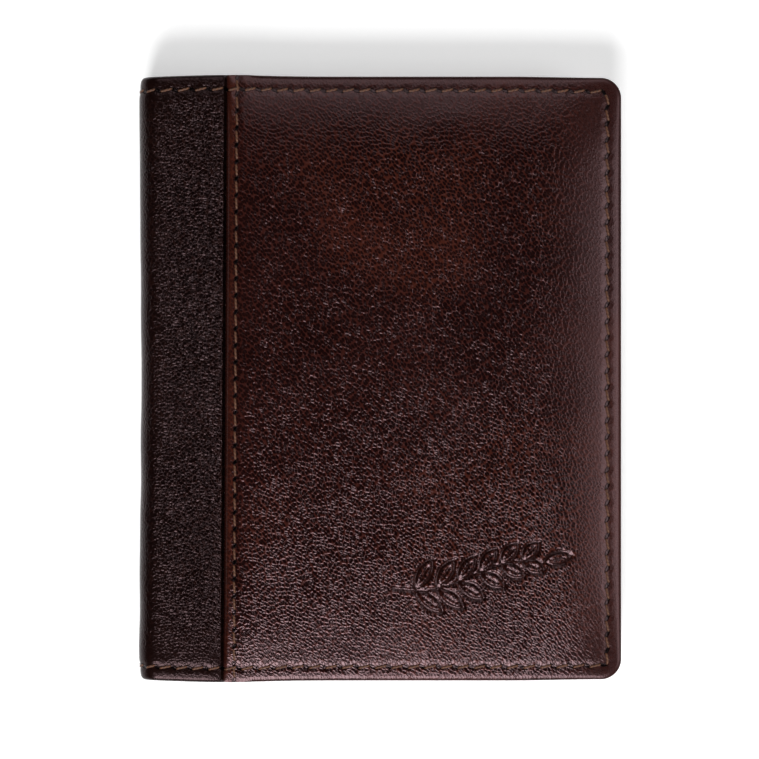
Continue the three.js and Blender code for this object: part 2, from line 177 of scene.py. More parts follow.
class WalletColours(bpy.types.PropertyGroup):
    """Colours of the leathers, cloth, thread and floor."""

    # Each leather's hollows colour is darker than its ridges colour: partly the leather's own grain colour,
    # partly painted shade in the pits.
    cover: colour("Cover", (0.0044, 0.0008, 0.0007), "Hollows of the cover's grain")
    cover_ridge: colour("Cover ridges", (0.036, 0.0085, 0.0062), "Tops of its grain")
    band: colour("Band", (0.0018, 0.0005, 0.0005), "Hollows of the band's grain")
    band_ridge: colour("Band ridges", (0.0125, 0.0046, 0.0037), "Tops of its grain")
    pocket: colour("Pockets", (0.021, 0.0068, 0.0046), "Inner leather")
    pocket_ridge: colour("Pocket ridges", (0.062, 0.023, 0.0155), "Tops of its grain")
    lining: colour("Lining", (0.017, 0.0085, 0.0062), "Twill lining")
    thread: colour("Thread", (0.13, 0.054, 0.028), "Sewing thread")
    floor: colour("Floor", (0.86, 0.86, 0.86), "Surface the wallet lies on")


def mm(name):
    """One of the sizes, in millimetres."""
    return getattr(bpy.context.scene.wallet_sizes, name) / MM


def paint(name):
    return tuple(getattr(bpy.context.scene.wallet_colours, name))


# ---------------- meshes


def mesh_object(name, points, faces, attributes):
    """A smooth-shaded mesh from millimetre points. faces is a list of index arrays, one face a row."""
    sizes = np.concatenate([np.full(len(f), f.shape[1]) for f in faces])
    corners = np.concatenate([f.ravel() for f in faces])
    mesh = bpy.data.meshes.new(name)
    mesh.vertices.add(len(points))
    mesh.vertices.foreach_set("co", (points * MM).astype(np.float32).ravel())
    mesh.loops.add(len(corners))
    mesh.loops.foreach_set("vertex_index", corners.astype(np.int32))
    mesh.polygons.add(len(sizes))
    starts = np.concatenate([[0], np.cumsum(sizes)[:-1]])
    mesh.polygons.foreach_set("loop_start", starts.astype(np.int32))
    mesh.update(calc_edges=True)
    for key, values in attributes.items():
        data = mesh.attributes.new(key, "FLOAT", "POINT").data
        data.foreach_set("value", values.astype(np.float32).ravel())
    mesh.shade_smooth()
    if mesh.validate():
        raise RuntimeError(f"{name} had faces that aren't valid")
    piece = bpy.data.objects.new(name, mesh)
    bpy.context.scene.collection.objects.link(piece)
    return piece


def quads(index):
    """Faces of a grid of point numbers, turning anticlockwise about first axis × second axis."""
    corners = index[:-1, :-1], index[1:, :-1], index[1:, 1:], index[:-1, 1:]
    return np.stack([c.ravel() for c in corners], axis=1)


def slab(name, outer, inner, side, attributes):
    """The closed skin of a sheet: a grid of outer points and one of inner points that meet at their border.

    outer and inner are (n, m, 3), the third number being the height above the closing plane. side is -1 for
    the mirrored half. attributes are (n, m) arrays for the outer points, which the inner ones share."""
    n, m = outer.shape[:2]
    upper = np.arange(n * m).reshape(n, m)
    lower = upper.copy()
    lower[1:-1, 1:-1] = n * m + np.arange((n - 2) * (m - 2)).reshape(n - 2, m - 2)
    points = np.concatenate([outer.reshape(-1, 3), inner[1:-1, 1:-1].reshape(-1, 3)])
    points = points * [1, 1, side] + [0, 0, WALLET.middle]
    faces = np.concatenate([quads(upper), quads(lower)[:, ::-1]])
    if side < 0:
        faces = faces[:, ::-1]
    shared = {
        key: np.concatenate([a.ravel(), a[1:-1, 1:-1].ravel()])
        for key, a in attributes.items()
    }
    return mesh_object(name, points, [faces], shared)


def spaced(*stops):
    """Grid lines from (position, spacing from there on) pairs. Each span is split evenly."""
    lines = [np.array([stops[0][0]])]
    for (start, step), (end, _) in zip(stops, stops[1:]):
        count = max(1, math.ceil((end - start) / step - 1e-6))
        lines.append(np.linspace(start, end, count + 1)[1:])
    return np.concatenate(lines)


def edged(low, high, reach, *stops, steps=6):
    """Grid lines from low to high, close together at both ends like the angles of a quarter circle."""
    close = reach * (1 - np.cos(np.linspace(0, np.pi / 2, steps + 1)))[:-1]
    inner = spaced((low + reach, stops[0]), *stops[1:], (high - reach, None))
    return np.concatenate([low + close, inner, (high - close)[::-1]])


def rounded(x, y, x0, x1, y0, y1, left, right):
    """Points of a rectangle moved so that its corners are round.

    In a corner's square, u and v run from 0 to 1 towards the corner. u becomes u √(1 − v²/2), as does v."""
    out_x, out_y = x.copy(), y.copy()
    for radius, corner_x, across in ((left, x0, -1), (right, x1, 1)):
        for corner_y, along in ((y0, -1), (y1, 1)):
            if radius <= 0:
                continue
            cx, cy = corner_x - across * radius, corner_y - along * radius
            u = np.clip(across * (x - cx) / radius, 0, 1)
            v = np.clip(along * (y - cy) / radius, 0, 1)
            out_x += across * radius * u * (np.sqrt(1 - v * v / 2) - 1)
            out_y += along * radius * v * (np.sqrt(1 - u * u / 2) - 1)
    return out_x, out_y


def inside(x, y, x0, x1, y0, y1, left, right):
    """Distance in from the outline of that rounded rectangle."""
    cx, cy = (x0 + x1) / 2, (y0 + y1) / 2
    radius = np.where(x > cx, right, left)
    qx = np.abs(x - cx) - (x1 - x0) / 2 + radius
    qy = np.abs(y - cy) - (y1 - y0) / 2 + radius
    outside = np.hypot(np.maximum(qx, 0), np.maximum(qy, 0))
    return np.maximum(radius - outside - np.minimum(np.maximum(qx, qy), 0), 0)


def swell(distance, reach):
    """0 at an edge, rising like a quarter circle to 1 at the reach."""
    t = np.clip(distance / reach, 0, 1)
    return np.sqrt(1 - (1 - t) ** 2)


def slope(distance, run):
    """1 at an edge, falling like a parabola to 0 at the run."""
    return np.clip(1 - distance / run, 0, 1) ** 2


def step(low, high, value):
    """A smooth step from 0 at low to 1 at high."""
    t = np.clip((value - low) / (high - low), 0, 1)
    return t * t * (3 - 2 * t)


def bell(distance, width):
    """1 on a line, falling off on both sides as exp(−(distance / width)²)."""
    return np.exp(-((distance / width) ** 2))


def ripple(x, y, seed, size, height):
    """A gentle unevenness: a sum of plane waves about size long, in directions that a seed picks."""
    chosen = np.random.default_rng(seed)
    total = np.zeros_like(x)
    waves = 18
    for _ in range(waves):
        turn = chosen.uniform(0, np.pi)
        wave = 2 * np.pi / (size * chosen.uniform(0.6, 1.8))
        total += np.sin(
            wave * (x * np.cos(turn) + y * np.sin(turn)) + chosen.uniform(0, 2 * np.pi)
        )
    return total * height / math.sqrt(waves / 2)


def warp(x, y):
    """The hand-made outline: the spine is waisted, the lap leans, and the ends bulge where layers overlap."""
    w = WALLET
    at_spine = bell(x - w.left, 5)
    waist = SPINE_WAIST * np.cos(np.pi * y / 46) * at_spine
    lean = LAP_LEAN * y / w.top * bell(x - w.lap_edge, 8)
    bulge = LAP_BULGE * bell(x - w.lap_edge, 9) - SPINE_PINCH * at_spine - OUTER_PINCH * step(22, 38, x)
    ends = np.sign(y) * step(w.top - 14, w.top, np.abs(y)) * bulge
    return x + waist + lean, y + ends


# ---------------- seams


class CornerSeam:
    """A stitch line along the top, round a corner, down the outer edge and back along the bottom."""

    def __init__(self, start, right, top, bottom, radius):
        self.start, self.radius = start, radius
        self.corner_x = right - radius
        self.middle = (top + bottom) / 2
        self.corner_y = (top - bottom) / 2 - radius
        self.run = self.corner_x - start
        self.turn = radius * np.pi / 2
        self.total = 2 * (self.run + self.turn + self.corner_y)
        self.count = round(self.total / mm("pitch"))
        self.pitch = self.total / self.count

    def along(self, x, y):
        """Length along the line, in stitches, of the line's point nearest to each point."""
        dx, dy = x - self.corner_x, np.abs(y - self.middle) - self.corner_y
        angle = np.arctan2(np.maximum(dx, 0), np.maximum(dy, 1e-9))
        straight = np.where(dy > dx, self.run + dx, self.run + self.turn - dy)
        length = np.where((dx > 0) & (dy > 0), self.run + self.radius * angle, straight)
        return np.where(y > self.middle, length, self.total - length) / self.pitch

    def point(self, length):
        """Points and left-hand directions at lengths in millimetres along the line."""
        hand = np.where(length > self.total / 2, -1, 1)
        at = np.minimum(length, self.total - length)
        angle = np.clip((at - self.run) / self.radius, 0, np.pi / 2)
        x = self.start + np.minimum(at, self.run) + self.radius * np.sin(angle)
        y = self.corner_y + self.radius * np.cos(angle) - np.maximum(at - self.run - self.turn, 0)
        left = np.stack([np.sin(angle), hand * np.cos(angle)], axis=-1)
        return np.stack([x, self.middle + hand * y], axis=-1), left


class StraightSeam:
    """A straight stitch line down from a point."""

    def __init__(self, x, top, bottom):
        self.x, self.top = x, top
        self.count = round((top - bottom) / mm("pitch"))
        self.pitch = (top - bottom) / self.count

    def along(self, y):
        """Length along the line, in stitches."""
        return (self.top - y) / self.pitch

    def point(self, length):
        """Points and left-hand directions, as CornerSeam's."""
        x = np.full_like(length, self.x)
        left = np.stack([np.ones_like(length), np.zeros_like(length)], axis=-1)
        return np.stack([x, self.top - length], axis=-1), left


def cover_seam():
    """The stitch line round a cover, from one fold to the other."""
    w, inset = WALLET, mm("stitch_inset")
    return CornerSeam(w.fold_x, w.right - inset, w.top - inset, inset - w.top, mm("corner") - inset)


def lap_seam():
    """The stitch line along a cover's folded edge."""
    w = WALLET
    return StraightSeam(w.lap_edge + mm("seam_inset"), w.top - SEAM_END, SEAM_END - w.top)


def stitch_points(frames, slant, rings=13, around=8):
    """Points of a row of stitches. Each is a flat thread that rises out of one hole and dives into the next.

    frames(t) gives the centres and the left-hand and upward unit vectors at the parts t of every stitch. s
    runs from −1 to 1 along the thread, whose half width shrinks as √(1 − s⁶) and height dips by 0.45 |s|⁵."""
    first, last = 0.1, 0.93
    t = np.linspace(first, last, rings)
    centre, left, up = frames(t)
    s = (2 * t - first - last) / (last - first)
    round_off = np.sqrt(1 - np.abs(s * 0.985) ** 6)[None, :, None, None]
    angle = np.linspace(0, 2 * np.pi, around, endpoint=False)[None, None, :, None]
    half = mm("thread") / 2
    lean = (slant * s)[None, :, None]
    rise = (half * 0.3 - 0.45 * np.abs(s) ** 5)[None, :, None]
    middle = (centre + left * lean + up * rise)[:, :, None, :]
    sideways = left[:, :, None, :] * (half * np.cos(angle) * round_off)
    upwards = up[:, :, None, :] * (0.8 * half * np.sin(angle) * round_off)
    return middle + sideways + upwards, t, angle[0, 0, :, 0]


def stitch_object(name, frames, side, slant):
    """One mesh for a row of stitches, each of them closed at both ends."""
    points, t, angle = stitch_points(frames, slant)
    count, rings, around = points.shape[:3]
    index = np.arange(count * rings * around).reshape(count, rings, around)
    ring = np.concatenate([index, index[:, :, :1]], axis=2)
    corners = ring[:, :-1, :-1], ring[:, :-1, 1:], ring[:, 1:, 1:], ring[:, 1:, :-1]
    walls = np.stack([c.ravel() for c in corners], axis=1)
    ends = np.concatenate([index[:, 0, ::-1], index[:, -1, :]])
    faces = [walls, ends]
    flat = points.reshape(-1, 3) * [1, 1, side] + [0, 0, WALLET.middle]
    # The walls face out when across × top runs along the travel. The mirrored half turns them.
    first, belt, last = points[0, 0], points[0, rings // 2], points[0, -1]
    across, top = belt[0] - belt[around // 2], belt[around // 4] - belt[3 * around // 4]
    if np.dot(np.cross(across, top), last.mean(0) - first.mean(0)) * side < 0:
        faces = [f[:, ::-1] for f in faces]
    along = np.broadcast_to(t[None, :, None], points.shape[:3])
    round_it = np.broadcast_to(angle[None, None, :], points.shape[:3])
    attributes = {"along": along, "turn_sin": np.sin(round_it), "turn_cos": np.cos(round_it)}
    return mesh_object(name, flat, faces, attributes)


# ---------------- shaders


class Term:
    """A socket in a shader graph that takes Python's arithmetic."""

    def __init__(self, graph, socket):
        self.graph, self.socket = graph, socket

    def math(self, operation, *others, clamp=False):
        node = self.graph.tree.nodes.new("ShaderNodeMath")
        node.operation, node.use_clamp = operation, clamp
        for at, value in enumerate((self, *others)):
            self.graph.feed(node.inputs[at], value)
        return Term(self.graph, node.outputs[0])

    def __add__(self, other):
        return self.math("ADD", other)

    __radd__ = __add__

    def __mul__(self, other):
        return self.math("MULTIPLY", other)

    __rmul__ = __mul__

    def __sub__(self, other):
        return self.math("SUBTRACT", other)

    def __rsub__(self, other):
        return (self * -1) + other

    def __truediv__(self, other):
        return self.math("DIVIDE", other)

    def __pow__(self, other):
        return self.math("POWER", other)

    def clamped(self):
        return self.math("ADD", 0, clamp=True)

    def step(self, low, high):
        """A smooth step from 0 at low to 1 at high."""
        node = self.graph.node(
            "ShaderNodeMapRange",
            {"interpolation_type": "SMOOTHSTEP"},
            {"Value": self, "From Min": low, "From Max": high},
        )
        return Term(self.graph, node.outputs[0])


class Graph:
    """The shader graph of a new material, around one Principled BSDF."""

    def __init__(self, name):
        self.material = bpy.data.materials.new(name)
        self.material.use_nodes = True
        self.tree = self.material.node_tree
        self.shader = self.tree.nodes["Principled BSDF"]

    def feed(self, socket, value):
        if isinstance(value, Term):
            self.tree.links.new(value.socket, socket)
        else:
            socket.default_value = value

    def node(self, kind, settings=None, inputs=None):
        node = self.tree.nodes.new(kind)
        for key, value in (settings or {}).items():
            setattr(node, key, value)
        for key, value in (inputs or {}).items():
            self.feed(node.inputs[key], value)
        return node

    def term(self, kind, settings=None, inputs=None, output=0):
        return Term(self, self.node(kind, settings, inputs).outputs[output])

    def vector(self, operation, *values):
        return self.term("ShaderNodeVectorMath", {"operation": operation}, dict(enumerate(values)))

    def attribute(self, name):
        return self.term("ShaderNodeAttribute", {"attribute_name": name}, output="Fac")

    def place(self):
        """Object coordinates in millimetres."""
        point = self.term("ShaderNodeTexCoord", output="Object")
        return self.vector("MULTIPLY", point, (1 / MM,) * 3)

    def turned(self, point, degrees, stretch):
        """A point turned about Z, then divided by a stretch along each axis."""
        turn = self.term(
            "ShaderNodeVectorRotate",
            {"rotation_type": "Z_AXIS"},
            {"Vector": point, "Angle": math.radians(degrees)},
        )
        return self.vector("DIVIDE", turn, stretch)

    def noise(self, point, size, detail=2.0, roughness=0.5, output="Fac"):
        inputs = {"Vector": point, "Scale": 1 / size, "Detail": detail, "Roughness": roughness}
        return self.term("ShaderNodeTexNoise", None, inputs, output)

    def voronoi(self, point, size, feature, flat):
        settings = {"feature": feature, "voronoi_dimensions": "2D" if flat else "3D"}
        inputs = {"Vector": point, "Scale": 1 / size}
        return self.term("ShaderNodeTexVoronoi", settings, inputs)

    def shift(self, point, amount, size):
        """A point moved by up to amount, in a cloudy pattern of that size."""
        cloud = self.noise(point, size, 1.0, output="Color")
        centred = self.vector("SUBTRACT", cloud, (0.5,) * 3)
        return self.vector("MULTIPLY_ADD", centred, (amount,) * 3, point)

    def mix(self, factor, first, second):
        node = self.node("ShaderNodeMix", {"data_type": "RGBA"}, {0: factor})
        for socket, value in ((node.inputs[6], first), (node.inputs[7], second)):
            self.feed(socket, value if isinstance(value, Term) else (*value, 1))
        return Term(self, node.outputs[2])

    def bump(self, height):
        """A normal from a height in millimetres."""
        inputs = {"Height": height, "Distance": MM, "Strength": 1.0}
        return self.term("ShaderNodeBump", None, inputs, "Normal")

    def finish(self, **inputs):
        for key, value in inputs.items():
            self.feed(self.shader.inputs[key.replace("_", " ")], value)
        return self.material


def seam_marks(g, name, pitch, wide):
    """Needle holes and puckers of a seam, as (hole, pucker), from its along and across attributes. The hole
    mask also places the holes' painted shade.
    """
    along, across = g.attribute(f"{name}_along"), g.attribute(f"{name}_across")
    near = (along - (along + 0.5).math("FLOOR")) * pitch
    u = near * 0.88 + across * 0.47
    v = across * 0.88 - near * 0.47
    hole = 1 - ((u / wide) ** 2 + (v / 0.3) ** 2).step(0.4, 1.2)
    pucker = 1 - ((near / 1.0) ** 2 + (across / 1.2) ** 2).step(0.0, 1.0)
    return hole, pucker


def leather(
    name, low, high, cell, depth, rough, seams=(), patch=None, pull=(1.3, 0.84), flat=True, gloss=0.4
):
    """Crinkled leather: raised creases round dark pits, stronger veins here and there, cloudy toning. The
    pits are dark partly from the leather's own colour and partly from painted shade.

    low and high are the colours of the pits and of the creases, cell and depth a pit's size in millimetres,
    patch the colour of a cover's worn patches, and pull how far the grain is drawn out along and across. Flat
    grain is one pattern seen from above, and the other kind also fits a piece that runs round a fold."""
    g = Graph(name)
    place = g.place()
    grain = g.attribute("grain")
    smooth = 1 - grain
    flow = g.shift(g.turned(place, 52, (*pull, 1.0)), cell * 0.9, cell * 2.8)
    pit = g.voronoi(flow, cell, "F1", flat)
    crease = 1 - g.voronoi(flow, cell, "DISTANCE_TO_EDGE", flat).step(0.0, 0.24)
    wrinkle = g.noise(flow, cell * 0.6, 2.0, 0.6)
    vein = 1 - (g.noise(flow, cell * 4.5, 2.0, 0.5) - 0.5).math("ABSOLUTE").step(0.0, 0.035)
    cloud = g.noise(place, 15, 2.0) - 0.5
    pores = g.noise(place, 0.2, 2.0, 0.6) * 0.0022
    lift = crease * (0.35 + wrinkle * 0.9) + pit * 0.45 + wrinkle * 0.35 + vein * crease * 0.5
    height = lift * grain * depth + pores
    low_pit = 0.3 if flat else 0.36
    # Painted shade in the pits: the colour darkens towards the bottom of each pit, following the grain's
    # height. This sits on top of the leather's own crease, wrinkle and cloudy colouring.
    grain_tone_and_pit_shade = pit.step(low_pit, low_pit + 0.45) * 0.7 + crease * 0.2 + (wrinkle - 0.5) * 0.5
    grain_tone_and_pit_shade = (grain_tone_and_pit_shade * grain + smooth * 0.42 + cloud * 0.5).clamped()
    tint = g.mix(grain_tone_and_pit_shade, low, high)
    roughness = rough + (1 - crease) * 0.05 + cloud * 0.08 + smooth * 0.14
    if patch:
        pressed = g.attribute("pressed")
        worn = g.noise(place, 26, 1.0).step(0.5, 0.72) * 0.5 + g.attribute("worn") * 0.7
        tint = g.mix(worn * grain_tone_and_pit_shade, tint, patch)
        # Painted shade in the stamped grooves, on top of the darkening that pressing gives the leather.
        tint = g.mix(pressed * 0.7, tint, tuple(0.4 * c for c in low))
        roughness = roughness - pressed * 0.07
    for seam, pitch, wide in seams:
        hole, pucker = seam_marks(g, seam, pitch, wide)
        height = height - hole * 0.4 - pucker * 0.03
        # Painted shade: the needle holes are painted near black, in place of the shade inside them.
        tint = g.mix(hole, tint, (0.0004, 0.0003, 0.0003))
        roughness = roughness - hole * 0.08
    return g.finish(
        Base_Color=tint, Roughness=roughness, Normal=g.bump(height), IOR=1.5,
        Specular_IOR_Level=gloss, Specular_Tint=(1.0, 0.66, 0.7, 1.0),
    )


def cloth(name, dark):
    """A fine twill: diagonal ridges crossed by threads."""
    g = Graph(name)
    place = g.place()
    waves = {
        "Vector": g.turned(place, 62, (1, 1, 1)), "Scale": 0.75, "Distortion": 0.6,
        "Detail": 1.0, "Detail Scale": 2.0,
    }
    settings = {"wave_type": "BANDS", "bands_direction": "X"}
    ridge = g.term("ShaderNodeTexWave", settings, waves, "Fac")
    cross = g.noise(g.turned(place, 62, (0.25, 0.12, 1)), 1.0, 1.0)
    height = ridge * 0.05 + cross * 0.03
    bright = tuple(2.8 * c for c in dark)
    tint = g.mix(ridge * 0.6 + cross * 0.35, dark, bright)
    return g.finish(
        Base_Color=tint, Roughness=0.85, Normal=g.bump(height), Specular_IOR_Level=0.12
    )


def yarn(name, base):
    """Waxed thread of two twisted plies, with painted shade where the plies meet and where it dives into the
    leather.
    """
    g = Graph(name)
    along, sine, cosine = (g.attribute(a) for a in ("along", "turn_sin", "turn_cos"))
    turn = sine.math("ARCTAN2", cosine)
    ply = ((along * 26 + turn).math("SINE") * 0.5 + 0.5) ** 0.7
    ends = 1 - (along - 0.5).math("ABSOLUTE").step(0.3, 0.47)
    cloud = g.noise(g.place(), 3.1, 2.0)
    dark = tuple(0.28 * c for c in base)
    # Painted shade: darker in the grooves between the plies and at both ends of a stitch, where it dives into
    # the holes. The cloud is the thread's own uneven colour.
    tint = g.mix((ply * 0.6 + cloud * 0.5) * ends, dark, base)
    return g.finish(
        Base_Color=tint, Roughness=0.45, Normal=g.bump(ply * 0.04), Specular_IOR_Level=0.3
    )


def dress(piece, name, make):
    """Give a piece the material of that name, made the first time it is asked for."""
    piece.data.materials.clear()
    piece.data.materials.append(bpy.data.materials.get(name) or make(name))


def cover_leather(name):
    seams = (("round", cover_seam().pitch, 0.8), ("lap", lap_seam().pitch, 0.5))
    colours = paint("cover"), paint("cover_ridge")
    return leather(name, *colours, mm("cell"), 0.0235, 0.145, seams, patch=(0.06, 0.013, 0.006))


def band_leather(name):
    seams = (("round", cover_seam().pitch, 0.8),)
    colours = paint("band"), paint("band_ridge")
    run = {"pull": (1.05, 0.95), "flat": False, "gloss": 0.2}
    return leather(name, *colours, mm("cell") * 0.92, 0.06, 0.105, seams, **run)


def pocket_leather(name):
    return leather(name, paint("pocket"), paint("pocket_ridge"), 0.6, 0.028, 0.24)


def lining_cloth(name):
    return cloth(name, paint("lining"))


def thread_yarn(name):
    return yarn(name, paint("thread"))


# ---------------- surfaces of the outside


def cover_height(x, y, stamped=0.0):
    """A cover's outer surface: its level less a parabolic slope to each edge and a gutter along each seam."""
    w = WALLET
    rise = w.cover_top - w.cover_low - mm("turned_edge") - 0.1
    run, low_run = mm("crown_run"), mm("crown_run_low")
    lap = mm("lap_crown") / rise
    flat = 1 - slope(w.right - x, run)
    flat = flat * (1 - slope(w.top - y, run)) * (1 - slope(y + w.top, low_run))
    flat = flat * (1 - lap * slope(x - w.lap_edge, mm("lap_crown_run")))
    level = w.cover_low + mm("turned_edge") + rise * flat
    edge = inside(x, y, w.left - 9, w.right, -w.top, w.top, 0, mm("corner"))
    depth = mm("gutter")
    level = level - depth * bell(edge - mm("stitch_inset"), DENT)
    level = level - depth * 0.8 * bell(x - w.lap_edge - mm("seam_inset"), DENT)
    level = level + ripple(x, y, 5, 17, 0.035) * step(2, 9, edge)
    return np.minimum(level + stamped, w.cover_top)


def emblem(x, y):
    """A stamped sprig, as (height, groove): a curved stem with pairs of almond leaves.

    A leaf is where |b| is less than half its width times 1 − a², with a along it from −1 to 1, b across.
    A groove follows every outline and midrib, deepest on the line, and the leaves stand a little proud."""
    groove_depth, leaf_height, half_leaf, pairs = 0.42, 0.14, 1.12, 6
    groove, proud = np.zeros_like(x), np.zeros_like(x)
    near = (np.abs(x - 16) < 18) & (np.abs(y + 33) < 11)
    px, py = x[near], y[near]
    line, leaf = np.full(px.shape, 9.0), np.zeros(px.shape)

    def stem(at):
        return 15.5 + 12 * at, -33.4 + 2.2 * at + 1.1 * math.sin(3 * at)

    for at in np.linspace(-1.12, 0.86, 60):
        sx, sy = stem(at)
        line = np.minimum(line, np.hypot(px - sx, py - sy))
    for k, hand in [(k, hand) for k in range(pairs) for hand in (1, -1)] + [(pairs, 0)]:
        ox, oy = stem(-0.8 + 0.3 * k)
        turn = 0.2 + hand * math.radians(50 - 3 * k)
        half = 2.9 - 0.17 * k + (0.5 if hand == 0 else 0)
        along, across = math.cos(turn), math.sin(turn)
        mx, my = ox + (half + 0.3) * along, oy + (half + 0.3) * across
        a = ((px - mx) * along + (py - my) * across) / half
        b = np.abs((py - my) * along - (px - mx) * across)
        edge = b - half_leaf * (1 - a * a)
        here = np.abs(a) < 1.04
        line = np.where(here, np.minimum(line, np.abs(edge)), line)
        line = np.where(here & (a < 0.5), np.minimum(line, b + 0.12), line)
        leaf = np.maximum(leaf, (1 - step(-0.5, 0.1, edge)) * (np.abs(a) < 1))
    groove[near] = 1 - step(0.05, 0.5, line)
    proud[near] = leaf
    return leaf_height * proud - groove_depth * groove, groove


def band_level(x, y, s):
    """How far the band lies below its nominal face: turned ends, a dip at each seam, soft puffing."""
    w = WALLET
    end = w.top - np.abs(y)
    drop = 0.35 * slope(end, 4) + 0.13 * bell(end - mm("stitch_inset"), DENT)
    drop = drop + 0.3 * slope(w.lap_edge - x, 4) * (x > w.fold_x)
    return drop - ripple(x, y + s, 8, 13, 0.03) * step(1, 6, end)


# ---------------- operators


class WALLET_OT_covers(bpy.types.Operator):
    """Build the padded leather cover of each half"""

    bl_idname = "wallet.covers"
    bl_label = "Covers"

    def execute(self, context):
        w = WALLET
        seam, lap = cover_seam(), lap_seam()
        reach = mm("edge_reach")
        # The grid is closer at the edges, at the seams and under the stamp.
        xs = edged(
            w.lap_edge, w.right, reach, 0.25, (w.lap_edge + 3.2, 0.8), (1, 0.25),
            (31, 0.4), (w.right - 3.6, 0.22),
        )
        ys = edged(
            -w.top, w.top, reach, 0.22, (-w.top + 3.6, 0.45), (-41.5, 0.25), (-25, 0.8),
            (w.top - 18, 0.45), (w.top - 3.6, 0.22),
        )
        gx, gy = np.meshgrid(xs, ys, indexing="ij")
        outline = (w.lap_edge, w.right, -w.top, w.top, 0.5, mm("corner"))
        x, y = rounded(gx, gy, *outline)
        edge = inside(x, y, *outline)
        rim = inside(x, y, w.left - 9, *outline[1:])
        turn = swell(edge, reach)
        waist = w.cover_low + mm("turned_edge") / 2
        tongue = w.cover_low + mm("tongue") + 0.1
        under = tongue + (w.cover_low - tongue) * step(w.band_end + 0.05, w.band_end + 0.3, x)
        waist = np.maximum(waist, under + 0.25 * mm("turned_edge"))
        px, py = warp(x, y)
        stamp, pressed = emblem(x, y)
        stamps = {"front": (stamp, pressed), "back": (0 * stamp, 0 * pressed)}
        inner = np.stack([px, py, waist - (waist - under) * turn], axis=-1)
        quiet = np.minimum(step(1.5, 16, w.right - x), 0.35 + 0.65 * step(2, 12, w.top - y))
        quiet = np.minimum(quiet, 0.7 + 0.3 * step(1, 7, x - w.lap_edge))
        lively = 1 + 0.4 * step(10, -40, y) - 0.15 * step(-38, -50, y)
        grain = (0.3 + 0.7 * quiet) * lively * step(0.2, 3.5, edge + 1.2)
        strip = (1 - step(1.2, 2.0, x - w.lap_edge)) * step(0, 0.4, x - w.lap_edge)
        attributes = {
            "worn": strip,
            "round_along": seam.along(x, y),
            "round_across": rim - mm("stitch_inset"),
            "lap_along": lap.along(y),
            "lap_across": lap.x - x,
        }
        for half, side in SIDES.items():
            relief, pressed = stamps[half]
            level = waist + (cover_height(x, y, relief) - waist) * turn
            outer = np.stack([px, py, level], axis=-1)
            attributes["grain"] = grain * (1 - 0.7 * pressed)
            # pressed marks the stamped grooves, which the shader smooths, makes shinier and darkens, partly
            # with painted shade.
            attributes["pressed"] = pressed
            piece = slab(f"{half}_cover", outer, inner, side, attributes)
            dress(piece, "grained_cover_leather", cover_leather)
            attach(piece, half)
            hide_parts(f"{half}_cover_leather", f"{half}_cover_padding")
        return {"FINISHED"}


class WALLET_OT_band(bpy.types.Operator):
    """Build the dark leather that runs from one cover round the spine to the other"""

    bl_idname = "wallet.band"
    bl_label = "Spine band"

    def execute(self, context):
        w = WALLET
        seam = cover_seam()
        # s runs along the band's outer side, from the middle of the spine, round the fold and over the face.
        corner = w.fold_centre + w.fold_radius * np.pi / 2
        end = corner + w.band_end - w.fold_x
        lap = corner + w.lap_edge - w.fold_x
        ss = spaced(
            (0, 0.4), (w.fold_centre, 0.22), (corner, 0.3), (lap - 3, 0.25), (lap - 0.6, 0.06),
            (lap + 0.1, 0.4), (end, None),
        )
        ss = np.concatenate([ss[:1] - OVERRUN, ss])
        ys = edged(-w.top, w.top, BAND_REACH, 0.22, (-w.top + 3.6, 0.4), (w.top - 3.6, 0.22))
        s, y = np.meshgrid(ss, ys, indexing="ij")
        turned_in = mm("spine_corner")
        theta = np.clip((s - w.fold_centre) / w.fold_radius, 0, np.pi / 2)
        face = np.maximum(s - corner, 0)
        base_x = w.left + w.fold_radius * (1 - np.cos(theta)) + face
        base_w = np.minimum(s, w.fold_centre) + w.fold_radius * np.sin(theta)
        # The ends are cut back round the spine's corners.
        across = np.clip(1 - (base_x - w.left) / turned_in, 0, 1)
        shy = turned_in * (1 - np.sqrt(1 - across ** 2 * 0.999))
        y = y * (1 - shy / w.top)
        turn = swell(w.top - shy - np.abs(y), BAND_REACH)
        thick = w.band_thickness
        hidden = step(lap - 0.55, lap + 0.02, s)
        drop = band_level(base_x, y, s)
        drop = drop * (1 - hidden) + (thick - mm("tongue")) * hidden
        waist = drop + (thick - drop) * 0.5
        top = waist + (drop - waist) * turn
        low = waist + (thick - waist) * turn
        rim = np.ones_like(s)
        rim[0], rim[-1] = 0, 0
        top = waist + (top - waist) * rim
        low = waist + (low - waist) * rim

        def at(depth):
            """The band's points at a depth below its outer side, square to the fold or the face."""
            x = base_x + depth * np.cos(theta) * (theta < np.pi / 2)
            height = base_w - depth * np.sin(theta)
            px, py = warp(x, y)
            return np.stack([px, py, height], axis=-1)

        end_gap = w.top - np.abs(y)
        along = (s - corner) / seam.pitch
        along = np.where(y > 0, along, seam.count - along)
        grain = (0.45 + 0.55 * step(1, 9, end_gap)) * step(0, 2.4, end_gap + 0.6)
        grain = grain * (0.5 + 0.5 * step(1, 7, base_x - w.left)) * (1 - 0.3 * step(-20, -48, y))
        attributes = {
            "grain": grain,
            "round_along": along,
            "round_across": end_gap - mm("stitch_inset"),
        }
        for half, side in SIDES.items():
            piece = slab(f"{half}_band", at(top), at(low), side, attributes)
            piece.data.set_sharp_from_angle(angle=math.radians(60))
            dress(piece, "glazed_band_leather", band_leather)
            bend(piece, side)
            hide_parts(f"{half}_spine_band", "spine_band_middle")
        return {"FINISHED"}


def bend(piece, side):
    """Bake a piece's placement into its mesh. The fold's ends at the spine and at the half are worked out,
    but the piece is not made to bend.
    """
    w = WALLET
    low = w.middle + side * w.fold_centre
    high = w.middle + side * w.band_top
    start = (w.left * MM, 0, low * MM)
    end = (w.fold_x * MM, 0, high * MM)
    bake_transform(piece)


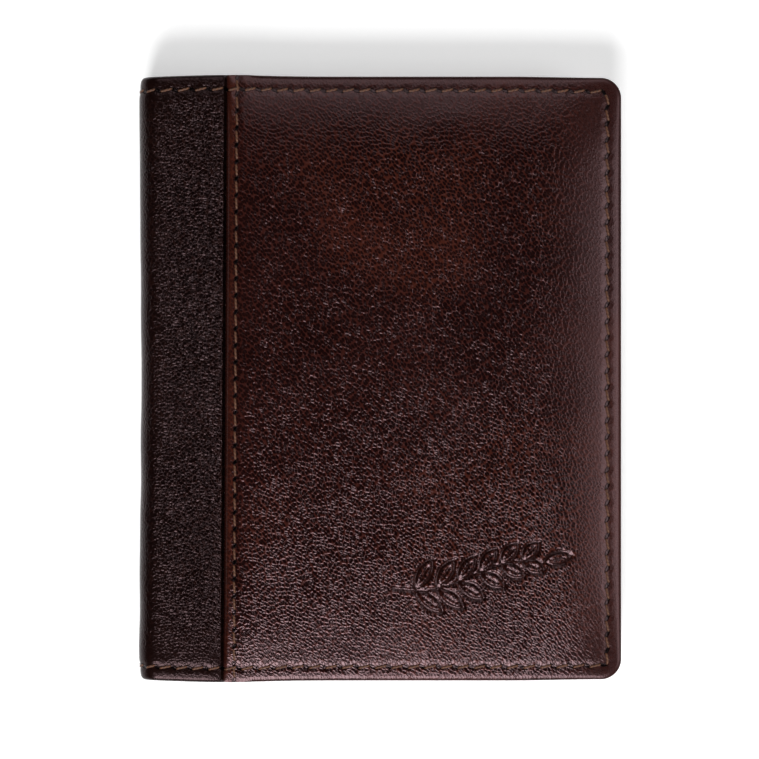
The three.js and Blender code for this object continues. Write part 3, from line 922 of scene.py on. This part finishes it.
class WALLET_OT_linings(bpy.types.Operator):
    """Build the cloth lining from the middle of the spine over the inside of each cover"""

    bl_idname = "wallet.linings"
    bl_label = "Linings"

    def execute(self, context):
        w = WALLET
        low, high = w.half_box("front_cover_lining")
        thick = high[2] - low[2]
        radius = w.fold_radius - w.band_thickness - 0.1 - thick / 2
        start_x = w.fold_x - radius
        corner = w.fold_centre + radius * np.pi / 2
        end = corner + high[0] - w.fold_x
        ss = spaced((0, 0.6), (w.fold_centre, 0.2), (corner, 1.6), (end - 4, 0.4), (end, None))
        ss = np.concatenate([ss[:1] - OVERRUN, ss])
        ys = spaced((low[1], 0.1), (low[1] + 0.4, 1.6), (high[1] - 0.4, 0.1), (high[1], None))
        s, y = np.meshgrid(ss, ys, indexing="ij")
        theta = np.clip((s - w.fold_centre) / radius, 0, np.pi / 2)
        x = start_x + radius * (1 - np.cos(theta)) + np.maximum(s - corner, 0)
        height = np.minimum(s, w.fold_centre) + radius * np.sin(theta)
        rx, ry = rounded(x, y, w.left - 20, high[0], low[1], high[1], 0, INNER_CORNER)
        rim = np.ones_like(s)
        rim[0], rim[-1], rim[:, 0], rim[:, -1] = 0, 0, 0, 0
        half_thick = thick / 2 * rim

        def at(depth):
            """The lining's points at a depth below its middle, square to the fold or the face."""
            inward = depth * np.cos(theta) * (theta < np.pi / 2)
            return np.stack([rx + inward, ry, height - depth * np.sin(theta)], axis=-1)

        flat = (end * MM, (high[1] - low[1]) * MM)
        for half, side in SIDES.items():
            piece = slab(f"{half}_lining", at(-half_thick), at(half_thick), side, {})
            dress(piece, "twill_lining_cloth", lining_cloth)
            bend(piece, side)
            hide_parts(f"{half}_cover_lining", "spine_lining")
        return {"FINISHED"}


class WALLET_OT_pockets(bpy.types.Operator):
    """Build the inner leather sheets, and colour the turned edges between them"""

    bl_idname = "wallet.pockets"
    bl_label = "Pockets"

    def execute(self, context):
        w = WALLET
        sags = {"pocket_base": 0.0, "card_pocket_1": 0.28, "card_pocket_2": 0.3}
        for half, side in SIDES.items():
            for layer, sag in sags.items():
                low, high = w.half_box(f"front_{layer}")
                outline = (low[0], high[0], low[1], high[1], 0.6, INNER_CORNER)
                reach = SHEET_REACH
                xs = edged(low[0], high[0], reach, 0.25, (low[0] + 2.2, 1.2), (high[0] - 4, 0.4), steps=4)
                ys = edged(low[1], high[1], reach, 0.4, (low[1] + 4, 1.3), (high[1] - 4, 0.4), steps=4)
                gx, gy = np.meshgrid(xs, ys, indexing="ij")
                x, y = rounded(gx, gy, *outline)
                edge = inside(x, y, *outline)
                turn = swell(edge, reach)
                middle, thick = (low[2] + high[2]) / 2, (high[2] - low[2]) / 2
                mouth = x - low[0]
                room = step(3.6, 16, edge + 3.5 * (mouth < edge + 0.01)) * step(3.4, 15, high[1] - y)
                room = room * step(3.4, 15, y - low[1])
                lift = sag * room * bell(mouth, 16)
                crease = 0.07 * bell(mouth - 1.1, 0.22) * step(1, 3, edge + 3 * (mouth < 3))
                face = middle + lift - (thick - crease) * turn
                rear = middle + lift + thick * turn
                outer = np.stack([x, y, rear], axis=-1)
                inner = np.stack([x, y, face], axis=-1)
                attributes = {"grain": np.full_like(x, 0.8)}
                piece = slab(f"{half}_{layer}_leather", outer, inner, side, attributes)
                dress(piece, "smooth_pocket_leather", pocket_leather)
                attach(piece, half)
                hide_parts(f"{half}_{layer}")
        for name, node in frame["nodes"].items():
            if "_hem_" in name:
                dress(node, "burnished_edge_leather", edge_leather)
            if "_card_stop_" in name:
                dress(node, "pocket_seam_thread", seam_thread)
        return {"FINISHED"}


def edge_leather(name):
    """Burnished edges of folded leather: fine layers along the thickness."""
    g = Graph(name)
    place = g.place()
    streak = g.noise(g.turned(place, 0, (3.0, 3.0, 0.09)), 1.0, 2.0)
    tint = g.mix(streak, paint("pocket"), tuple(1.15 * c for c in paint("pocket_ridge")))
    return g.finish(
        Base_Color=tint, Roughness=0.5 + streak * 0.2, Normal=g.bump(streak * 0.05),
        Specular_IOR_Level=0.15,
    )


def seam_thread(name):
    """A row of stitches inside a pocket, as short bars."""
    g = Graph(name)
    waves = {"Vector": g.place(), "Scale": 0.11}
    bars = g.term("ShaderNodeTexWave", {"bands_direction": "Y"}, waves, "Fac")
    tint = g.mix(bars.step(0.2, 0.4), paint("pocket"), paint("thread"))
    return g.finish(Base_Color=tint, Roughness=0.6, Normal=g.bump(bars * 0.1))


class WALLET_OT_stitching(bpy.types.Operator):
    """Sew the covers, the laps, the pockets and the ends of the spine"""

    bl_idname = "wallet.stitching"
    bl_label = "Stitching"

    def execute(self, context):
        w = WALLET
        seam, lap = cover_seam(), lap_seam()
        face_low, face_high = w.half_box("front_card_pocket_2")
        first_low, _ = w.half_box("front_card_pocket_1")
        base_low, _ = w.half_box("front_pocket_base")
        right, bottom = w.right - mm("stitch_inset"), mm("stitch_inset") - w.top
        start, top = base_low[0] + 2.6, face_high[1] - 2
        inner = CornerSeam(start, right, top, bottom, POCKET_SEAM_CORNER)

        def along(line, height, up):
            """The frames of a row of stitches on a line, at height(x, y), on an upward or downward side."""

            def frames(t):
                point, left = line.point((np.arange(line.count)[:, None] + t) * line.pitch)
                x, y, level = height(point[..., 0], point[..., 1])
                left = np.concatenate([left, np.zeros_like(left[..., :1])], axis=-1)
                return np.stack([x, y, level], axis=-1), left, np.broadcast_to([0, 0, up], left.shape)

            return frames

        def outside(x, y):
            """Warped points on the outer face: on the cover, or on the band next to it."""
            on_cover = cover_height(np.maximum(x, w.lap_edge + 0.4), y)
            level = np.where(x < w.lap_edge + 0.05, w.band_top - band_level(x, y, x), on_cover)
            return *warp(x, y), level

        def pockets(x, y):
            """Points on the inner sheets, a step lower at each pocket's mouth."""
            stepped = np.where(x < face_low[0], first_low[2], face_low[2])
            return x, y, np.where(x < first_low[0], base_low[2], stepped)

        reach = w.fold_centre + w.fold_radius * np.pi / 2
        turns = max(2, round(reach / seam.pitch))
        pitch = reach / turns

        def on_spine(hand):
            """The frames of the stitches from a fold to the middle of the spine, near one end."""

            def frames(t):
                s = reach - (np.arange(turns)[:, None] + t) * pitch
                theta = np.clip((s - w.fold_centre) / w.fold_radius, 0, np.pi / 2)
                across, rise = np.cos(theta), np.sin(theta)
                y = hand * (w.top - mm("stitch_inset")) * np.ones_like(s)
                drop = band_level(np.full_like(s, w.left), y, s)
                x = w.left + w.fold_radius * (1 - across) + drop * across
                height = np.minimum(s, w.fold_centre) + (w.fold_radius - drop) * rise
                centre = np.stack([*warp(x, y), height], axis=-1)
                outward = np.stack([-across, np.zeros_like(s), rise], axis=-1)
                return centre, np.broadcast_to([0, -1, 0], centre.shape), outward

            return frames

        for half, side in SIDES.items():
            rows = {
                f"{half}_cover_thread": (along(seam, outside, 1), f"{half}_cover_stitching"),
                f"{half}_lap_thread": (along(lap, outside, 1), f"{half}_band_stitching"),
                f"{half}_pocket_thread": (along(inner, pockets, -1), f"{half}_pocket_stitching"),
            }
            for name, (frames, node) in rows.items():
                slant = mm("slant") * (0.35 if "_lap_" in name else 1)
                piece = stitch_object(name, frames, side, slant)
                dress(piece, "waxed_sewing_thread", thread_yarn)
                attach(piece, half)
                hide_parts(node)
            for hand, end in ((1, "top"), (-1, "bottom")):
                piece = stitch_object(f"{half}_spine_thread_{end}", on_spine(hand), side, mm("slant"))
                dress(piece, "waxed_sewing_thread", thread_yarn)
                bend(piece, side)
                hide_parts(f"spine_stitching_{end}")
        return {"FINISHED"}


def look_at(position, target):
    """Rotation that turns the -Z axis from a position towards a target."""
    return (Vector(target) - Vector(position)).to_track_quat("-Z", "Y").to_euler()


class WALLET_OT_stage(bpy.types.Operator):
    """Set up the floor, the soft studio lights and the camera above the wallet"""

    bl_idname = "wallet.stage"
    bl_label = "Stage"

    def execute(self, context):
        scene = context.scene
        scene.view_settings.view_transform = "Standard"
        reach, low = 3000, -0.1
        corners = np.array([[x * reach, y * reach, low] for x, y in ((-1, -1), (1, -1), (1, 1), (-1, 1))])
        floor = mesh_object("floor", corners, [np.array([[0, 1, 2, 3]])], {})
        g = Graph("floor_paper")
        shade = g.noise(g.place(), 400, 1.0)
        tint = g.mix(shade * 0.04, paint("floor"), (0.8, 0.8, 0.8))
        g.finish(
            Base_Color=tint, Roughness=0.8, Emission_Color=(1, 1, 1, 1), Emission_Strength=0.42
        )
        floor.data.materials.append(g.material)

        lights = {
            "key": ((-0.12, -0.62, 0.74), 0.46, 10.6),
            "right": ((0.56, -0.05, 0.68), 0.4, 2.2),
            "top": ((0.05, 0.56, 0.68), 0.4, 1.15),
        }
        for name, (position, wide, power) in lights.items():
            data = bpy.data.lights.new(name, "AREA")
            data.size, data.energy = wide, power
            lamp = bpy.data.objects.new(name, data)
            lamp.location = position
            lamp.rotation_euler = look_at(position, (0, 0, 0.01))
            scene.collection.objects.link(lamp)

        world = bpy.data.worlds.new("studio")
        world.use_nodes = True
        sky = Graph("horizon")
        sky.tree = world.node_tree
        height = sky.term("ShaderNodeSeparateXYZ", None, {0: sky.term("ShaderNodeTexCoord")}, "Z")
        glow = sky.mix(height.step(0.0, 0.25), (0.95, 0.95, 0.96), (0.012, 0.012, 0.013))
        sky.feed(world.node_tree.nodes["Background"].inputs["Color"], glow)
        scene.world = world

        data = bpy.data.cameras.new("camera")
        data.sensor_width, data.lens = 36, 170
        camera = bpy.data.objects.new("camera", data)
        # The camera looks straight down, and sees this width at the level of the band's face.
        seen_width = 0.12895
        face = (WALLET.middle + WALLET.band_top) * MM
        camera.location = (-0.00014, -0.00016, face + seen_width * data.lens / data.sensor_width)
        scene.collection.objects.link(camera)
        scene.camera = camera
        return {"FINISHED"}


class WALLET_PT_sidebar(bpy.types.Panel):
    """Buttons and settings of the wallet"""

    bl_idname = "WALLET_PT_sidebar"
    bl_label = "Wallet"
    bl_space_type = "VIEW_3D"
    bl_region_type = "UI"
    bl_category = "Wallet"

    def draw(self, context):
        layout = self.layout
        for operator in OPERATORS:
            layout.operator(operator.bl_idname)
        for settings in (context.scene.wallet_sizes, context.scene.wallet_colours):
            column = layout.column(align=True)
            for key in settings.__annotations__:
                column.prop(settings, key)


OPERATORS = (
    WALLET_OT_stage,
    WALLET_OT_covers,
    WALLET_OT_band,
    WALLET_OT_linings,
    WALLET_OT_pockets,
    WALLET_OT_stitching,
)
CLASSES = (WalletSizes, WalletColours, *OPERATORS, WALLET_PT_sidebar)


def register():
    for cls in CLASSES:
        bpy.utils.register_class(cls)
    bpy.types.Scene.wallet_sizes = bpy.props.PointerProperty(type=WalletSizes)
    bpy.types.Scene.wallet_colours = bpy.props.PointerProperty(type=WalletColours)


def unregister():
    del bpy.types.Scene.wallet_colours
    del bpy.types.Scene.wallet_sizes
    for cls in reversed(CLASSES):
        bpy.utils.unregister_class(cls)


def main():
    register()
    bpy.ops.wallet.stage()
    bpy.ops.wallet.covers()
    bpy.ops.wallet.band()
    bpy.ops.wallet.linings()
    bpy.ops.wallet.pockets()
    bpy.ops.wallet.stitching()


if __name__ == "__main__":
    main()
